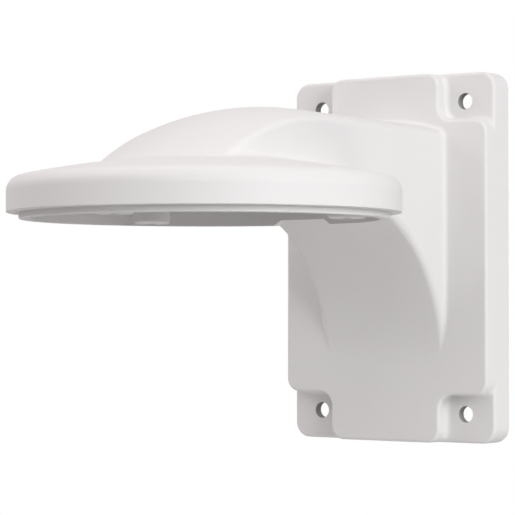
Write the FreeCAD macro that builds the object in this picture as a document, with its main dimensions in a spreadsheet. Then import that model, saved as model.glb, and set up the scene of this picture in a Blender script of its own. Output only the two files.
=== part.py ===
"""Wall bracket for a round ceiling-type camera: one hollow casting.

A tall wall plate with four recessed screw corners carries a box-section arm.
The arm runs level, then bends down over a round disc that opens downwards.
The camera's base screws to three bosses inside the disc, and its cable runs
up through the disc, along the hollow arm and out at the open back of the plate.

Frame: the origin is the centre of the plate's back face, which lies on the
wall. +Z is up, the arm reaches out along -Y, and the casting is symmetric
about the plane X = 0. All lengths are in millimetres.
"""

import FreeCAD, Part
import math
import os
import Sketcher

doc = FreeCAD.newDocument("wall_bracket")

# Driving dimensions
DIMENSIONS = [
    ("plate_width", 97.4),
    ("plate_height", 151.0),
    ("plate_corner", 6.5),
    ("flange_front", 11.7),
    ("platform_front", 18.4),
    ("recess_wide", 22.5),
    ("recess_high", 19.7),
    ("recess_corner", 6.0),
    ("recess_lip", 5.5),
    ("recess_foot", 2.0),
    ("plate_wall", 4.0),
    ("plate_edge", 1.3),
    ("screw_hole", 6.6),
    ("screw_bevel", 0.2),
    ("screws_across", 70.2),
    ("screws_apart", 127.6),
    ("arm_width", 58.4),
    ("crest_drop", 19.5),
    ("arm_depth", 35.8),
    ("arm_level", 103.6),
    ("arm_bend", 126.8),
    ("arm_sweep", 46.0),
    ("crown_radius", 90.0),
    ("shoulder_round", 3.0),
    ("throat_radius", 66.0),
    ("throat_run_in", 0.4),
    ("throat_round", 2.6),
    ("root_fillet", 1.9),
    ("arm_wall", 4.0),
    ("disc_reach", 141.9),
    ("disc_radius", 72.8),
    ("disc_drop", 29.3),
    ("rim_height", 12.4),
    ("disc_round", 5.8),
    ("cap_radius", 334.0),
    ("rim_edge", 0.4),
    ("cap_fillet", 3.0),
    ("ring_step", 4.6),
    ("ring_height", 2.35),
    ("ring_wall", 3.5),
    ("disc_wall", 4.0),
    ("notch_top", 20.4),
    ("notch_mouth", 26.6),
    ("notch_rise", 2.1),
    ("boss_gap", 4.9),
    ("boss_width", 14.6),
    ("boss_recess", 0.2),
    ("boss_round", 1.4),
    ("boss_hole", 3.4),
    ("boss_depth", 9.0),
    ("boss_count", 3.0),
]

sheet = doc.addObject("Spreadsheet::Sheet", "Sizes")
for row, (alias, number) in enumerate(DIMENSIONS, start=1):
    sheet.set(f"A{row}", alias)
    sheet.set(f"B{row}", str(number))
    sheet.setAlias(f"B{row}", alias)
doc.recompute()


class Size:
    """A number together with the sheet expression that gives it."""

    def __init__(self, text, value):
        self.text = text
        self.value = value

    def __add__(self, other):
        other = as_size(other)
        return Size(f"({self.text} + {other.text})", self.value + other.value)

    def __sub__(self, other):
        other = as_size(other)
        return Size(f"({self.text} - {other.text})", self.value - other.value)

    def __mul__(self, other):
        other = as_size(other)
        return Size(f"({self.text} * {other.text})", self.value * other.value)

    def __truediv__(self, other):
        other = as_size(other)
        return Size(f"({self.text} / {other.text})", self.value / other.value)

    def __neg__(self):
        return Size(f"(0 - {self.text})", -self.value)


def as_size(number):
    """A plain number as a Size, and a Size as it is."""
    if isinstance(number, Size):
        return number
    return Size(repr(float(number)), float(number))


def root(size):
    """Square root of a Size."""
    return Size(f"sqrt({size.text})", math.sqrt(size.value))


def dim(alias):
    """The driving dimension of that name."""
    return Size(f"Sizes.{alias}", float(sheet.get(alias)))


def arm_crest():
    """Height of the arm's top, a fixed drop below the top of the plate."""
    return dim("plate_height") / 2 - dim("crest_drop")


def throat_top():
    """Height of the arm's underside where it is highest."""
    return arm_crest() - dim("arm_depth")


def disc_shoulder():
    """Height at which the domed top would meet the rim if it weren't rounded."""
    return arm_crest() - dim("disc_drop")


def disc_underside():
    """Height of the rim's lower edge."""
    return disc_shoulder() - dim("rim_height")


def ring_bottom():
    """Height of the lower edge of the ring that is set back under the rim."""
    return disc_underside() - dim("ring_height")


def ring_radius():
    """Outside of the ring, one step in from the rim."""
    return dim("disc_radius") - dim("ring_step")


def boss_circle():
    """Circle through the screw bosses, which stand a gap inside the ring."""
    inside = ring_radius() - dim("ring_wall")
    return (inside - dim("boss_gap")) * 2 - dim("boss_width")


def bind(thing, prop, size):
    """Bind one property of a document object to the sheet."""
    thing.setExpression(prop, size.text)


def origin_plane(body, role):
    """One of the body's own origin planes."""
    for feature in body.Origin.OriginFeatures:
        if feature.Role == role:
            return feature
    raise RuntimeError(f"{body.Label} has no {role}")


def new_sketch(body, name, role, shift=(0.0, 0.0, 0.0)):
    """A sketch on an origin plane, shifted in the plane's own directions."""
    sketch = body.newObject("Sketcher::SketchObject", name)
    sketch.AttachmentSupport = [(origin_plane(body, role), "")]
    sketch.MapMode = "FlatFace"
    offsets = [as_size(part) for part in shift]
    sketch.AttachmentOffset = FreeCAD.Placement(
        FreeCAD.Vector(*[part.value for part in offsets]), FreeCAD.Rotation())
    for axis, part in zip("xyz", offsets):
        bind(sketch, f"AttachmentOffset.Base.{axis}", part)
    return sketch


def pin(sketch, curve, end, point):
    """Hold one end of a curve at a point whose place comes from the sheet."""
    for kind, size in zip(("DistanceX", "DistanceY"), point):
        index = sketch.addConstraint(Sketcher.Constraint(kind, curve, end, size.value))
        bind(sketch, f"Constraints[{index}]", size)


def draw_outline(sketch, corners):
    """Close a loop through the points of a list.

    Each entry is (x, y) for a straight run to the next point, or
    (x, y, centre x, centre y, radius, turn) for an arc, which turns
    anticlockwise where turn is 1 and clockwise where it is -1.
    """
    points = [tuple(as_size(part) for part in corner[:2]) for corner in corners]
    curves = []
    for place, corner in enumerate(corners):
        start = points[place]
        end = points[(place + 1) % len(points)]
        first = FreeCAD.Vector(start[0].value, start[1].value, 0)
        last = FreeCAD.Vector(end[0].value, end[1].value, 0)
        if len(corner) == 2:
            curves.append((sketch.addGeometry(Part.LineSegment(first, last), False), 1, 2))
            continue
        centre = FreeCAD.Vector(as_size(corner[2]).value, as_size(corner[3]).value, 0)
        radius = as_size(corner[4])
        angles = [math.atan2(p.y - centre.y, p.x - centre.x) for p in (first, last)]
        if corner[5] < 0:
            angles.reverse()
        circle = Part.Circle(centre, FreeCAD.Vector(0, 0, 1), radius.value)
        arc = sketch.addGeometry(Part.ArcOfCircle(circle, angles[0], angles[1]), False)
        index = sketch.addConstraint(Sketcher.Constraint("Radius", arc, radius.value))
        bind(sketch, f"Constraints[{index}]", radius)
        curves.append((arc, 1, 2) if corner[5] > 0 else (arc, 2, 1))
    for place, (curve, start, end) in enumerate(curves):
        following, opening, _ = curves[(place + 1) % len(curves)]
        sketch.addConstraint(Sketcher.Constraint("Coincident", curve, end, following, opening))
        pin(sketch, curve, start, points[place])


def rounded_corners(corners):
    """Outline of a right-angled polygon, anticlockwise, with its corners rounded.

    Each corner is (x, y, radius, outward), where outward is False at a corner
    that points into the material.
    """
    outline = []
    count = len(corners)
    for place, (x, y, radius, outward) in enumerate(corners):
        before = corners[place - 1]
        after = corners[(place + 1) % count]
        ways = []
        for other in (before, after):
            across = other[0].value - x.value
            up = other[1].value - y.value
            ways.append((sign(across), sign(up)))
        tangents = [(x + radius * way[0], y + radius * way[1]) for way in ways]
        centre_x = x + radius * (ways[0][0] + ways[1][0])
        centre_y = y + radius * (ways[0][1] + ways[1][1])
        turn = 1 if outward else -1
        outline.append((tangents[0][0], tangents[0][1], centre_x, centre_y, radius, turn))
        outline.append(tangents[1])
    return outline


def sign(number):
    """-1, 0 or 1, with rounding errors taken as 0."""
    if abs(number) < 1e-9:
        return 0
    return 1 if number > 0 else -1


def add_circle(sketch, x, y, diameter):
    """A full circle at a place and with a size from the sheet."""
    centre = FreeCAD.Vector(x.value, y.value, 0)
    circle = Part.Circle(centre, FreeCAD.Vector(0, 0, 1), diameter.value / 2)
    curve = sketch.addGeometry(circle, False)
    index = sketch.addConstraint(Sketcher.Constraint("Radius", curve, diameter.value / 2))
    bind(sketch, f"Constraints[{index}]", diameter / 2)
    pin(sketch, curve, 3, (x, y))


def pad(body, name, sketch, length, reverse=False):
    """Material along the sketch's normal."""
    feature = body.newObject("PartDesign::Pad", name)
    feature.Profile = sketch
    feature.Reversed = reverse
    bind(feature, "Length", length)
    return finish(body, feature, grows=True)


def pocket(body, name, sketch, length, reverse=False):
    """A straight cut, against the sketch's normal unless reversed."""
    feature = body.newObject("PartDesign::Pocket", name)
    feature.Profile = sketch
    feature.Reversed = reverse
    bind(feature, "Length", length)
    return finish(body, feature, grows=False)


def turn_about(body, name, kind, sketch, axis, angle, reverse=False, middle=False):
    """A revolved feature about one of its sketch's own axes."""
    feature = body.newObject(kind, name)
    feature.Profile = sketch
    feature.ReferenceAxis = (sketch, [axis])
    feature.Reversed = reverse
    feature.Midplane = middle
    bind(feature, "Angle", as_size(angle))
    return finish(body, feature, grows=kind.endswith("Revolution"))


def finish(body, feature, grows):
    """Compute a feature and make sure that it added or took material."""
    before = body.Shape.Volume if body.Shape and not body.Shape.isNull() else 0.0
    body.Tip = feature
    doc.recompute()
    after = body.Shape.Volume
    if not (after > before if grows else after < before):
        raise RuntimeError(f"{feature.Label} changed the volume from {before} to {after}")
    return feature


def arm_section(body, name, shift, half, crest, crown, corner, bottom):
    """Upright arm section: straight sides under a crowned top.

    Heights are measured from the sketch's own horizontal axis.
    """
    middle = crest - crown
    rise = root((crown - corner) * (crown - corner) - (half - corner) * (half - corner))
    shoulder = middle + rise
    ratio = crown / (crown - corner)
    edge = (half - corner) * ratio
    edge_height = middle + rise * ratio
    sketch = new_sketch(body, name, "XZ_Plane", shift)
    draw_outline(sketch, [
        (-half, bottom),
        (half, bottom),
        (half, shoulder, half - corner, shoulder, corner, 1),
        (edge, edge_height, as_size(0), middle, crown, 1),
        (-edge, edge_height, corner - half, shoulder, corner, 1),
        (-half, shoulder),
    ])
    return sketch


def build_arm(body, prefix, inset):
    """The arm's solid form, its outside for inset 0 and its duct otherwise.

    A level stretch and a bent nose share one section, and the throat is cut
    under them with its two long edges already rounded.
    """
    half = dim("arm_width") / 2 - inset
    crest = arm_crest() - inset
    crown = dim("crown_radius") - inset
    corner = dim("shoulder_round")
    level = dim("arm_level")
    bend_height = arm_crest() - dim("arm_bend")
    throat = dim("throat_radius") + inset
    throat_height = throat_top() - dim("throat_radius")
    throat_out = dim("platform_front") - dim("throat_run_in") + dim("throat_radius")
    throat_round = dim("throat_round")
    roof = throat_top() + inset

    section = arm_section(body, f"{prefix}_section", (0, 0, 0),
                          half, crest, crown, corner, throat_height)
    pad(body, f"{prefix}_level", section, level)

    nose = arm_section(body, f"{prefix}_nose_section", (0, bend_height, level),
                       half, crest - bend_height, crown, corner, roof - bend_height)
    turn_about(body, f"{prefix}_nose", "PartDesign::Revolution", nose, "H_Axis",
               dim("arm_sweep"))

    # Throat under the arm, about an axis across the bracket
    far = half + throat_round * 2
    lip = throat + throat_round
    profile = new_sketch(body, f"{prefix}_throat_profile", "XZ_Plane",
                         (0, throat_height, throat_out))
    draw_outline(profile, [
        (-far, as_size(0)),
        (far, as_size(0)),
        (far, lip),
        (half, lip, half - throat_round, lip, throat_round, -1),
        (half - throat_round, throat),
        (throat_round - half, throat, throat_round - half, lip, throat_round, -1),
        (-half, lip),
        (-far, lip),
    ])
    turn_about(body, f"{prefix}_throat", "PartDesign::Groove", profile, "H_Axis", 100,
               reverse=True)
    pocket(body, f"{prefix}_throat_front", profile, level * 2, reverse=True)
    return body


def edges_where(shape, holds):
    """Names of the edges whose every sampled point passes a test."""
    names = []
    for number, edge in enumerate(shape.Edges, start=1):
        first, last = edge.ParameterRange
        steps = [first + (last - first) * part / 6 for part in range(7)]
        if all(holds(edge.valueAt(step)) for step in steps):
            names.append(f"Edge{number}")
    return names


def round_edges(body, name, radius, holds, grows):
    """A fillet on the edges that pass a test."""
    base = body.Tip
    feature = body.newObject("PartDesign::Fillet", name)
    feature.Base = (base, edges_where(base.Shape, holds))
    bind(feature, "Radius", radius)
    return finish(body, feature, grows)


def near(number, target):
    """True where two lengths agree closely enough to be the same edge."""
    return abs(number - target) < 0.02


def flange_outline(inset, corner):
    """Outline of the whole plate, or of a hollow inside it."""
    half_x = dim("plate_width") / 2 - inset
    half_z = dim("plate_height") / 2 - inset
    ends = ((half_x, -half_z), (half_x, half_z), (-half_x, half_z), (-half_x, -half_z))
    return rounded_corners([(x, z, corner, True) for x, z in ends])


def platform_outline(inset, lip, corner):
    """Outline of the raised front, which leaves a recess at each corner."""
    far_x = dim("plate_width") / 2 - inset
    far_z = dim("plate_height") / 2 - inset
    near_x = far_x - dim("recess_wide")
    near_z = far_z - dim("recess_high")
    quarter = [(far_x, near_z, lip, True), (near_x, near_z, corner, False),
               (near_x, far_z, lip, True)]
    corners = list(quarter)
    corners += [(-x, z, radius, outward) for x, z, radius, outward in reversed(quarter)]
    corners += [(-x, -z, radius, outward) for x, z, radius, outward in quarter]
    corners += [(x, -z, radius, outward) for x, z, radius, outward in reversed(quarter)]
    return rounded_corners(corners)


def on_platform_rim(point):
    """True on the front outline of the platform."""
    beside = abs(point.x) > dim("plate_width").value / 2 - dim("recess_wide").value - 0.01
    at_end = abs(point.z) > dim("plate_height").value / 2 - 0.01
    return near(-point.y, dim("platform_front").value) and (beside or at_end)


def on_recess_foot(point):
    """True where the platform's sides stand on a recess floor."""
    near_x = dim("plate_width").value / 2 - dim("recess_wide").value
    near_z = dim("plate_height").value / 2 - dim("recess_high").value
    lip = dim("recess_lip").value
    x = abs(point.x)
    z = abs(point.z)
    inside = x > near_x - lip - 0.01 and z > near_z - lip - 0.01
    inner_x = near_x + dim("recess_corner").value
    inner_z = near_z + dim("recess_corner").value
    at_side = near(x, near_x) or near(z, near_z)
    at_corner = near(math.hypot(x - inner_x, z - inner_z), dim("recess_corner").value)
    return near(-point.y, dim("flange_front").value) and inside and (at_side or at_corner)


def on_flange_rim(point):
    """True on the front outline of the flange."""
    corner = dim("plate_corner").value + 0.01
    from_side = dim("plate_width").value / 2 - abs(point.x)
    from_end = dim("plate_height").value / 2 - abs(point.z)
    at_corner = from_side < corner and from_end < corner
    on_outline = near(from_side, 0) or near(from_end, 0) or at_corner
    return near(-point.y, dim("flange_front").value) and on_outline


def add_plate(body):
    """Wall plate: a full flange, and a platform raised on it."""
    zero = as_size(0)
    flange = new_sketch(body, "flange_sketch", "XZ_Plane")
    draw_outline(flange, flange_outline(zero, dim("plate_corner")))
    pad(body, "flange", flange, dim("flange_front"))
    round_edges(body, "flange_edge", dim("plate_edge"), on_flange_rim, grows=False)
    platform = new_sketch(body, "platform_sketch", "XZ_Plane")
    draw_outline(platform, platform_outline(zero, dim("recess_lip"), dim("recess_corner")))
    pad(body, "platform", platform, dim("platform_front"))


def cap_height(radius, inset):
    """Height of the disc's domed top, or of its ceiling, at a distance from its axis."""
    centre = disc_shoulder() - root(
        dim("cap_radius") * dim("cap_radius") - dim("disc_radius") * dim("disc_radius"))
    sphere = dim("cap_radius") - inset
    return centre + root(sphere * sphere - radius * radius)


def add_disc(body):
    """Round disc: a rim with a domed top, and a lower ring set back under it."""
    zero = as_size(0)
    sphere = dim("cap_radius")
    soft = dim("disc_round")
    rim = dim("disc_radius")
    ring = ring_radius()
    lip = dim("rim_edge")
    apex = cap_height(zero, zero)
    centre = apex - sphere
    shoulder = centre + root((sphere - soft) * (sphere - soft) - (rim - soft) * (rim - soft))
    ratio = sphere / (sphere - soft)
    profile = new_sketch(body, "disc_profile", "YZ_Plane", (-dim("disc_reach"), 0, 0))
    draw_outline(profile, [
        (zero, ring_bottom()),
        (ring - lip, ring_bottom(), ring - lip, ring_bottom() + lip, lip, 1),
        (ring, ring_bottom() + lip),
        (ring, disc_underside()),
        (rim - lip, disc_underside(), rim - lip, disc_underside() + lip, lip, 1),
        (rim, disc_underside() + lip),
        (rim, shoulder, rim - soft, shoulder, soft, 1),
        ((rim - soft) * ratio, centre + (shoulder - centre) * ratio, zero, centre, sphere, 1),
        (zero, apex),
    ])
    turn_about(body, "disc", "PartDesign::Revolution", profile, "V_Axis", 360)


def on_root(point):
    """True on the line where the arm leaves the platform."""
    inside = abs(point.x) < dim("arm_width").value / 2 + 0.01
    below = point.z < arm_crest().value + 0.01
    above = point.z > throat_top().value - dim("throat_radius").value
    return near(-point.y, dim("platform_front").value) and inside and below and above


def on_cap_line(point):
    """True on the line where the arm meets the disc, over its top and down its rim."""
    reach = math.hypot(point.x, point.y + dim("disc_reach").value)
    inside = abs(point.x) < dim("arm_width").value / 2 + 0.01
    on_rim = near(reach, dim("disc_radius").value) and point.z > disc_underside().value + 1
    zero = as_size(0)
    centre = cap_height(zero, zero).value - dim("cap_radius").value
    on_cap = near(math.hypot(reach, point.z - centre), dim("cap_radius").value)
    soft = dim("disc_round").value
    inner = dim("disc_radius").value - soft
    shoulder = centre + math.sqrt((dim("cap_radius").value - soft) ** 2 - inner ** 2)
    on_soft = near(math.hypot(reach - inner, point.z - shoulder), soft)
    return inside and (on_rim or on_cap or on_soft)


def cut_duct(body):
    """Cable duct: the arm's own form again, one wall thickness smaller."""
    duct = doc.addObject("PartDesign::Body", "duct")
    build_arm(duct, "duct", dim("arm_wall"))
    feature = body.newObject("PartDesign::Boolean", "duct_cut")
    feature.Type = "Cut"
    feature.addObject(duct)
    finish(body, feature, grows=False)


def hollow_disc(body):
    """Cavity inside the ring, up to a ceiling that follows the domed top."""
    zero = as_size(0)
    inner = ring_radius() - dim("ring_wall")
    below = ring_bottom() - 1
    ceiling = dim("disc_wall")
    apex = cap_height(zero, ceiling)
    sphere = dim("cap_radius") - ceiling
    profile = new_sketch(body, "cavity_profile", "YZ_Plane", (-dim("disc_reach"), 0, 0))
    draw_outline(profile, [
        (zero, below),
        (inner, below),
        (inner, cap_height(inner, ceiling), zero, apex - sphere, sphere, 1),
        (zero, apex),
    ])
    turn_about(body, "cavity", "PartDesign::Groove", profile, "V_Axis", 360)


def hollow_plate(body):
    """Open back of the plate, one wall thickness inside the flange and the platform."""
    wall = dim("plate_wall")
    shallow = new_sketch(body, "flange_hollow_sketch", "XZ_Plane")
    draw_outline(shallow, flange_outline(wall, dim("plate_corner") / 2))
    pocket(body, "flange_hollow", shallow, dim("flange_front") - wall, reverse=True)
    deep = new_sketch(body, "platform_hollow_sketch", "XZ_Plane")
    draw_outline(deep, platform_outline(wall, dim("recess_lip") / 2,
                                        dim("recess_corner") + wall))
    pocket(body, "platform_hollow", deep, dim("platform_front") - wall, reverse=True)


def on_hole_rim(point):
    """True on the front edge of a wall screw's hole."""
    across = abs(point.x) - dim("screws_across").value / 2
    up = abs(point.z) - dim("screws_apart").value / 2
    at_hole = near(math.hypot(across, up), dim("screw_hole").value / 2)
    return at_hole and near(-point.y, dim("flange_front").value)


def drill_plate(body):
    """Four wall screw holes through the recess floors."""
    x = dim("screws_across") / 2
    z = dim("screws_apart") / 2
    holes = new_sketch(body, "screw_hole_sketch", "XZ_Plane")
    for place in ((x, z), (-x, z), (-x, -z), (x, -z)):
        add_circle(holes, place[0], place[1], dim("screw_hole"))
    pocket(body, "screw_holes", holes, dim("flange_front") * 2, reverse=True)
    base = body.Tip
    bevel = body.newObject("PartDesign::Chamfer", "screw_hole_bevel")
    bevel.Base = (base, edges_where(base.Shape, on_hole_rim))
    bind(bevel, "Size", dim("screw_bevel"))
    finish(body, bevel, grows=False)


def cut_notch(body):
    """Notch with sloping ends through the ring on the side of the wall."""
    margin = as_size(1)
    top = dim("notch_top") / 2
    mouth = dim("notch_mouth") / 2
    rise = ring_bottom() + dim("notch_rise")
    start = dim("disc_reach") - ring_radius() - margin
    sketch = new_sketch(body, "notch_sketch", "XZ_Plane", (0, 0, start))
    draw_outline(sketch, [
        (-mouth, ring_bottom()),
        (mouth, ring_bottom()),
        (top, rise),
        (-top, rise),
    ])
    pocket(body, "notch", sketch, margin + dim("ring_wall") * 2, reverse=True)


def on_boss_end(point):
    """True on the lower rim of a screw boss."""
    reach = math.hypot(point.x, point.y + dim("disc_reach").value)
    middle = boss_circle().value / 2
    within = abs(reach - middle) < dim("boss_width").value / 2 + 0.01
    return within and near(point.z, (ring_bottom() + dim("boss_recess")).value)


def add_bosses(body):
    """Three screw bosses inside the ring with rounded ends, one of them at the front."""
    start = ring_bottom() + dim("boss_recess")
    seat = (0, -dim("disc_reach"), start)
    middle = -boss_circle() / 2
    top = cap_height((boss_circle() - dim("boss_width")) / 2, dim("disc_wall"))
    rise = top - start + dim("disc_wall") / 4
    outline = new_sketch(body, "boss_sketch", "XY_Plane", seat)
    add_circle(outline, as_size(0), middle, dim("boss_width"))
    boss = pad(body, "boss", outline, rise)
    repeat(body, "bosses", boss, outline, grows=True)
    round_edges(body, "boss_ends", dim("boss_round"), on_boss_end, grows=False)
    bore = new_sketch(body, "boss_hole_sketch", "XY_Plane", seat)
    add_circle(bore, as_size(0), middle, dim("boss_hole"))
    hole = pocket(body, "boss_hole", bore, dim("boss_depth"), reverse=True)
    repeat(body, "boss_holes", hole, bore, grows=False)


def repeat(body, name, feature, sketch, grows):
    """The same feature at each boss, turned about the disc's axis."""
    pattern = body.newObject("PartDesign::PolarPattern", name)
    pattern.Originals = [feature]
    pattern.Axis = (sketch, ["N_Axis"])
    pattern.Angle = 360
    bind(pattern, "Occurrences", dim("boss_count"))
    finish(body, pattern, grows)


bracket = doc.addObject("PartDesign::Body", "bracket")
bracket.Label = "bracket"
build_arm(bracket, "arm", as_size(0))
add_plate(bracket)
round_edges(bracket, "root_blend", dim("root_fillet"), on_root, grows=True)
round_edges(bracket, "platform_edge", dim("plate_edge"), on_platform_rim, grows=False)
round_edges(bracket, "recess_foot_blend", dim("recess_foot"), on_recess_foot, grows=True)
add_disc(bracket)
round_edges(bracket, "cap_blend", dim("cap_fillet"), on_cap_line, grows=True)
cut_duct(bracket)
hollow_disc(bracket)
hollow_plate(bracket)
drill_plate(bracket)
cut_notch(bracket)
add_bosses(bracket)

# Every feature computed, and the casting is one valid solid
for thing in doc.Objects:
    if "Invalid" in thing.State or "Error" in thing.State:
        raise RuntimeError(f"{thing.Label} did not compute")
if bracket.Shape.isNull() or not bracket.Shape.isValid():
    raise RuntimeError("the bracket's shape is not valid")
if len(bracket.Shape.Solids) != 1:
    raise RuntimeError("the bracket is not one solid")

os.makedirs("parts", exist_ok=True)
bracket.Shape.exportStep("parts/bracket.step")
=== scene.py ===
"""Wall bracket for a round camera: powder coat, studio light and camera."""

import math

import bmesh
import bpy
from mathutils import Euler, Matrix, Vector

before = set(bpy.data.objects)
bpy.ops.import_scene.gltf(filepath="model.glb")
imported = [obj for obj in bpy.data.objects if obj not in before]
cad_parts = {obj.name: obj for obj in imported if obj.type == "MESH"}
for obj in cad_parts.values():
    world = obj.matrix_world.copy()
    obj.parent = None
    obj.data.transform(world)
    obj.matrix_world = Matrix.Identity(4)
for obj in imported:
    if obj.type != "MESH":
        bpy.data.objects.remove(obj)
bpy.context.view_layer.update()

# Where the photograph was taken from: metres, degrees and millimetres of lens
VIEWPOINT = (0.48547, -0.78892, -0.02129)
VIEW_TILT = 1.3653
VIEW_TURN = 35.4987
VIEW_LENS = 153.501
SENSOR_WIDTH = 36.0

# Powder coat: its colours, and how rough its gloss is
COAT_COLOUR = (0.722, 0.7135, 0.713)
COAT_THIN = (0.765, 0.757, 0.756)
COAT_SHADE = (0.700, 0.6885, 0.687)
SHADE_SHARE = 0.6
ROUGH_LEAST = 0.58
ROUGH_MOST = 0.67

# The sprayed surface: sizes in metres, and the usual low and high of its slow clouds
PEEL_SIZE = 0.0016
GRAIN_SIZE = 0.00035
GRAIN_SHARE = 0.25
PEEL_DEPTH = 0.00012
PEEL_STRENGTH = 0.35
CLOUD_SIZE = 0.045
CLOUD_SPAN = (0.3, 0.7)

# Edges: how near they count, how far the surface has turned there (as a cosine), and
# how the grain breaks the thin coat on them
EDGE_REACH = 0.0009
EDGE_TURN = (0.995, 0.90)
EDGE_GRAIN = (0.35, 0.65)
EDGE_LEAST = 0.45

# Where the throat runs out into the plate: its place in X, Y and Z, and its soft reach
THROAT_FOOT = (0.0, -0.0184, -0.0385)
FOOT_SOFTNESS = 0.009
FOOT_FADE = 0.0045
FOOT_HALF_WIDTH = 0.021
FOOT_SIDE_FADE = 0.006

# Painted shade inside the drilled bores: its dark colour, then each bore's (x, y or z, radius)
BORE_PAINTED_SHADE = (0.33, 0.325, 0.32)
SCREW_BORE = (0.0351, 0.0638, 0.00338)
FRONT_BOSS_BORE = (0.0, -0.1944, 0.00178)
SIDE_BOSS_BORE = (0.04547, -0.11565, 0.00178)
BOSS_BORE_TOP = 0.0208

# Studio: the middle of the bracket, and each lamp's bearing, height, power and tint
STUDIO_CENTRE = (0.0, -0.1, 0.0)
LAMP_REACH = 1.5
LAMP_WIDTH = 0.8
DAY_TINT = (0.985, 1.0, 1.01)
WARM_TINT = (1.02, 0.984, 0.976)
LAMPS = (
    ("key_right", 72, 13, 12.2, DAY_TINT),
    ("fill_left", 288, 35, 5.8, WARM_TINT),
    ("low_left", 300, -55, 6.0, WARM_TINT),
    ("low_right", 60, -55, 3.8, WARM_TINT),
    ("low_side", 120, -55, 5.1, WARM_TINT),
    ("front", 24, 35, 3.1, WARM_TINT),
)
ROOM_LIGHT = 0.715
FLOOR_LEVEL = -1.6
FLOOR_HALF = 30.0
FLOOR_GLOW = 0.11


def add_node(tree, kind, values=None, **settings):
    """A node with its properties and its plain input values set."""
    node = tree.nodes.new(kind)
    for name, value in settings.items():
        setattr(node, name, value)
    for socket, value in (values or {}).items():
        node.inputs[socket].default_value = value
    return node


def new_group(name, takes, gives):
    """A node group that takes and gives the named sockets: the tree, its entry and exit."""
    group = bpy.data.node_groups.new(name, "ShaderNodeTree")
    for way, sockets in (("INPUT", takes), ("OUTPUT", gives)):
        for label, kind in sockets:
            group.interface.new_socket(name=label, in_out=way, socket_type=f"NodeSocket{kind}")
    return group, add_node(group, "NodeGroupInput"), add_node(group, "NodeGroupOutput")


def combine(tree, operation, *terms):
    """One number worked out from sockets and plain numbers."""
    node = add_node(tree, "ShaderNodeMath", operation=operation)
    for socket, term in zip(node.inputs, terms):
        if isinstance(term, float):
            socket.default_value = term
        else:
            tree.links.new(term, socket)
    return node.outputs[0]


def fade(tree, value, span, first, last):
    """A number that runs from first to last while the value crosses the span."""
    node = add_node(tree, "ShaderNodeMapRange", {"From Min": span[0], "From Max": span[1],
                                                 "To Min": first, "To Max": last})
    tree.links.new(value, node.inputs["Value"])
    return node.outputs["Result"]


def mix_colour(tree, factor, first, second):
    """The colour between two, where each is a socket or a plain colour."""
    mix = add_node(tree, "ShaderNodeMix", data_type="RGBA")
    tree.links.new(factor, mix.inputs["Factor"])
    # Inputs 6 and 7 and output 2 are the node's colours
    for socket, colour in ((mix.inputs[6], first), (mix.inputs[7], second)):
        if isinstance(colour, tuple):
            socket.default_value = (*colour, 1.0)
        else:
            tree.links.new(colour, socket)
    return mix.outputs[2]


def part_place(tree):
    """X, Y and Z of a point in the part's own frame."""
    place = add_node(tree, "ShaderNodeTexCoord")
    parts = add_node(tree, "ShaderNodeSeparateXYZ")
    tree.links.new(place.outputs["Object"], parts.inputs[0])
    return parts.outputs


def sprayed_grain():
    """Node group: the peel, the fine grain and the uneven thickness of a sprayed coat."""
    group, entry, exit_ = new_group(
        "sprayed_grain",
        (("Peel Size", "Float"), ("Grain Size", "Float"), ("Cloud Size", "Float")),
        (("Height", "Float"), ("Grain", "Float"), ("Cloud", "Float")))
    place = add_node(group, "ShaderNodeTexCoord")
    links = group.links
    peel = add_node(group, "ShaderNodeTexNoise", {"Detail": 1.5, "Roughness": 0.45})
    grain = add_node(group, "ShaderNodeTexNoise", {"Detail": 2.0, "Roughness": 0.6})
    cloud = add_node(group, "ShaderNodeTexNoise",
                     {"Detail": 3.0, "Roughness": 0.55, "Distortion": 0.3})
    for noise, size in ((peel, "Peel Size"), (grain, "Grain Size"), (cloud, "Cloud Size")):
        links.new(place.outputs["Object"], noise.inputs["Vector"])
        links.new(combine(group, "DIVIDE", 1.0, entry.outputs[size]), noise.inputs["Scale"])

    # The fine grain rides on the slow peel
    small = combine(group, "MULTIPLY", grain.outputs["Fac"], GRAIN_SHARE)
    links.new(combine(group, "ADD", peel.outputs["Fac"], small), exit_.inputs["Height"])
    links.new(grain.outputs["Fac"], exit_.inputs["Grain"])
    links.new(cloud.outputs["Fac"], exit_.inputs["Cloud"])
    return group


def worn_edges():
    """Node group: a mask of the edges, where the coat runs thin, broken by grain.

    It compares the surface's own direction with a softened one.
    """
    group, entry, exit_ = new_group(
        "worn_edges", (("Soft Normal", "Vector"), ("Grain", "Float")), (("Edge", "Float"),))
    shape = add_node(group, "ShaderNodeNewGeometry")
    same = add_node(group, "ShaderNodeVectorMath", operation="DOT_PRODUCT")
    group.links.new(entry.outputs["Soft Normal"], same.inputs[0])
    group.links.new(shape.outputs["Normal"], same.inputs[1])
    turned = fade(group, same.outputs["Value"], EDGE_TURN, 0.0, 1.0)
    broken = fade(group, entry.outputs["Grain"], EDGE_GRAIN, EDGE_LEAST, 1.0)
    group.links.new(combine(group, "MULTIPLY", turned, broken), exit_.inputs["Edge"])
    return group


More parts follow.
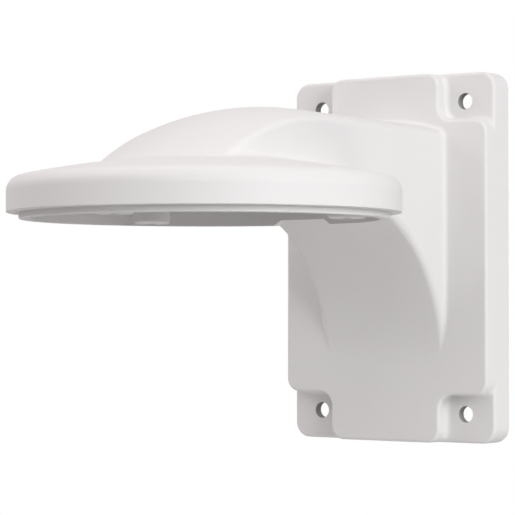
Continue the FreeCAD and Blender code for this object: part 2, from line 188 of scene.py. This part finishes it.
def drilled_bore():
    """Node group: 1 inside a round bore, from a place across it and the bore's centre."""
    group, entry, exit_ = new_group(
        "drilled_bore",
        (("Across", "Float"), ("Along", "Float"), ("Centre", "Vector"), ("Radius", "Float")),
        (("Bore", "Float"),))
    spot = add_node(group, "ShaderNodeCombineXYZ")
    reach = add_node(group, "ShaderNodeVectorMath", operation="DISTANCE")
    group.links.new(entry.outputs["Across"], spot.inputs["X"])
    group.links.new(entry.outputs["Along"], spot.inputs["Y"])
    group.links.new(spot.outputs["Vector"], reach.inputs[0])
    group.links.new(entry.outputs["Centre"], reach.inputs[1])
    inside = combine(group, "LESS_THAN", reach.outputs["Value"], entry.outputs["Radius"])
    group.links.new(inside, exit_.inputs["Bore"])
    return group


def bores_for_painted_shade(tree):
    """A mask of the wall screws' bores and of the bosses' bores, where shade is painted."""
    x, y, z = part_place(tree)
    side = combine(tree, "ABSOLUTE", x)
    level = combine(tree, "ABSOLUTE", z)
    bore = drilled_bore()
    masks = []
    for along, (across, other, radius) in ((level, SCREW_BORE), (y, FRONT_BOSS_BORE),
                                           (y, SIDE_BOSS_BORE)):
        hole = add_node(tree, "ShaderNodeGroup", node_tree=bore)
        hole.inputs["Centre"].default_value = (across, other, 0.0)
        hole.inputs["Radius"].default_value = radius
        tree.links.new(side, hole.inputs["Across"])
        tree.links.new(along, hole.inputs["Along"])
        masks.append(hole.outputs["Bore"])
    screws, front_boss, side_bosses = masks
    bosses = combine(tree, "MULTIPLY", combine(tree, "MAXIMUM", front_boss, side_bosses),
                     combine(tree, "LESS_THAN", z, BOSS_BORE_TOP))
    return combine(tree, "MAXIMUM", screws, bosses)


def soft_foot(tree):
    """The surface's direction, eased across the shallow line at the throat's foot."""
    x, y, z = part_place(tree)
    spot = add_node(tree, "ShaderNodeCombineXYZ")
    reach = add_node(tree, "ShaderNodeVectorMath", {1: THROAT_FOOT}, operation="DISTANCE")
    tree.links.new(y, spot.inputs["Y"])
    tree.links.new(z, spot.inputs["Z"])
    tree.links.new(spot.outputs["Vector"], reach.inputs[0])
    near = fade(tree, reach.outputs["Value"], (FOOT_SOFTNESS, FOOT_SOFTNESS + FOOT_FADE),
                1.0, 0.0)
    within = fade(tree, combine(tree, "ABSOLUTE", x),
                  (FOOT_HALF_WIDTH, FOOT_HALF_WIDTH + FOOT_SIDE_FADE), 1.0, 0.0)
    shape = add_node(tree, "ShaderNodeNewGeometry")
    eased = add_node(tree, "ShaderNodeBevel", {"Radius": FOOT_SOFTNESS}, samples=12)
    blend = add_node(tree, "ShaderNodeMix", data_type="VECTOR")
    # Inputs 4 and 5 and output 1 are the node's vectors
    tree.links.new(combine(tree, "MULTIPLY", near, within), blend.inputs["Factor"])
    tree.links.new(shape.outputs["Normal"], blend.inputs[4])
    tree.links.new(eased.outputs["Normal"], blend.inputs[5])
    return blend.outputs[1]


def powder_coat(name):
    """White powder coat: satin, with the faint orange peel of a sprayed casting."""
    material = bpy.data.materials.new(name)
    material.use_nodes = True
    tree = material.node_tree
    links = tree.links
    shader = tree.nodes["Principled BSDF"]
    spray = add_node(tree, "ShaderNodeGroup", node_tree=sprayed_grain())
    for label, size in (("Peel Size", PEEL_SIZE), ("Grain Size", GRAIN_SIZE),
                        ("Cloud Size", CLOUD_SIZE)):
        spray.inputs[label].default_value = size
    wear = add_node(tree, "ShaderNodeGroup", node_tree=worn_edges())
    soft = add_node(tree, "ShaderNodeBevel", {"Radius": EDGE_REACH}, samples=6)
    links.new(soft.outputs["Normal"], wear.inputs["Soft Normal"])
    links.new(spray.outputs["Grain"], wear.inputs["Grain"])

    shade = fade(tree, spray.outputs["Cloud"], CLOUD_SPAN, 0.0, SHADE_SHARE)
    body = mix_colour(tree, shade, COAT_COLOUR, COAT_SHADE)
    edged = mix_colour(tree, wear.outputs["Edge"], body, COAT_THIN)
    # Painted shade: the insides of the bores are darkened in the colour itself
    bore_shaded = mix_colour(tree, bores_for_painted_shade(tree), edged, BORE_PAINTED_SHADE)
    links.new(bore_shaded, shader.inputs["Base Color"])
    links.new(fade(tree, spray.outputs["Cloud"], CLOUD_SPAN, ROUGH_LEAST, ROUGH_MOST),
              shader.inputs["Roughness"])

    bump = add_node(tree, "ShaderNodeBump", {"Strength": PEEL_STRENGTH, "Distance": PEEL_DEPTH})
    links.new(spray.outputs["Height"], bump.inputs["Height"])
    links.new(soft_foot(tree), bump.inputs["Normal"])
    links.new(bump.outputs["Normal"], shader.inputs["Normal"])
    return material


def soft_lamp(name, bearing, height, power, tint):
    """A round soft box, aimed at the bracket and out of the camera's sight."""
    lamp = bpy.data.lights.new(name, "AREA")
    lamp.shape = "DISK"
    lamp.size = LAMP_WIDTH
    lamp.energy = power
    lamp.color = tint
    holder = bpy.data.objects.new(name, lamp)
    around = math.radians(bearing)
    up = math.radians(height)
    toward = Vector((math.sin(around) * math.cos(up), -math.cos(around) * math.cos(up),
                     math.sin(up)))
    holder.location = Vector(STUDIO_CENTRE) + toward * LAMP_REACH
    holder.rotation_euler = (-toward).to_track_quat("-Z", "Y").to_euler()
    holder.visible_camera = False
    bpy.context.scene.collection.objects.link(holder)


def camera():
    """The camera, nearly level with the disc, looking at the bracket's right front."""
    data = bpy.data.cameras.new("camera")
    data.sensor_width = SENSOR_WIDTH
    data.lens = VIEW_LENS
    holder = bpy.data.objects.new("camera", data)
    holder.location = VIEWPOINT
    holder.rotation_euler = Euler((math.radians(90 + VIEW_TILT), 0, math.radians(VIEW_TURN)))
    bpy.context.scene.collection.objects.link(holder)
    bpy.context.scene.camera = holder


def white_to_the_eye(tree, lit, seen):
    """Join two shaders so that the camera sees the second and the light meets the first."""
    path = add_node(tree, "ShaderNodeLightPath")
    mix = add_node(tree, "ShaderNodeMixShader")
    tree.links.new(path.outputs["Is Camera Ray"], mix.inputs[0])
    tree.links.new(lit.outputs[0], mix.inputs[1])
    tree.links.new(seen.outputs[0], mix.inputs[2])
    return mix.outputs[0]


def floor():
    """Plain pale studio floor, well below the bracket."""
    shape = bmesh.new()
    bmesh.ops.create_grid(shape, x_segments=1, y_segments=1, size=FLOOR_HALF)
    bmesh.ops.translate(shape, verts=shape.verts, vec=(0, 0, FLOOR_LEVEL))
    mesh = bpy.data.meshes.new("floor")
    shape.to_mesh(mesh)
    shape.free()
    piece = bpy.data.objects.new("floor", mesh)
    bpy.context.scene.collection.objects.link(piece)
    material = bpy.data.materials.new("floor_paint")
    material.use_nodes = True
    tree = material.node_tree
    glow = add_node(tree, "ShaderNodeEmission", {"Strength": FLOOR_GLOW})
    paper = add_node(tree, "ShaderNodeEmission", {"Strength": 1.0})
    out = tree.nodes["Material Output"]
    tree.links.new(white_to_the_eye(tree, glow, paper), out.inputs["Surface"])
    mesh.materials.append(material)


def studio():
    """White room with soft boxes round the bracket."""
    scene = bpy.context.scene
    scene.view_settings.view_transform = "Standard"
    world = bpy.data.worlds.new("studio")
    world.use_nodes = True
    tree = world.node_tree
    room = tree.nodes["Background"]
    room.inputs["Color"].default_value = (*WARM_TINT, 1.0)
    room.inputs["Strength"].default_value = ROOM_LIGHT
    backdrop = add_node(tree, "ShaderNodeBackground", {"Color": (1, 1, 1, 1), "Strength": 1.0})
    out = tree.nodes["World Output"]
    tree.links.new(white_to_the_eye(tree, room, backdrop), out.inputs["Surface"])
    scene.world = world
    for lamp in LAMPS:
        soft_lamp(*lamp)


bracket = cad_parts["bracket"]
coat = powder_coat("powder_coat_white")
for place in range(max(1, len(bracket.material_slots))):
    bracket.material_slots[place].material = coat
floor()
studio()
camera()
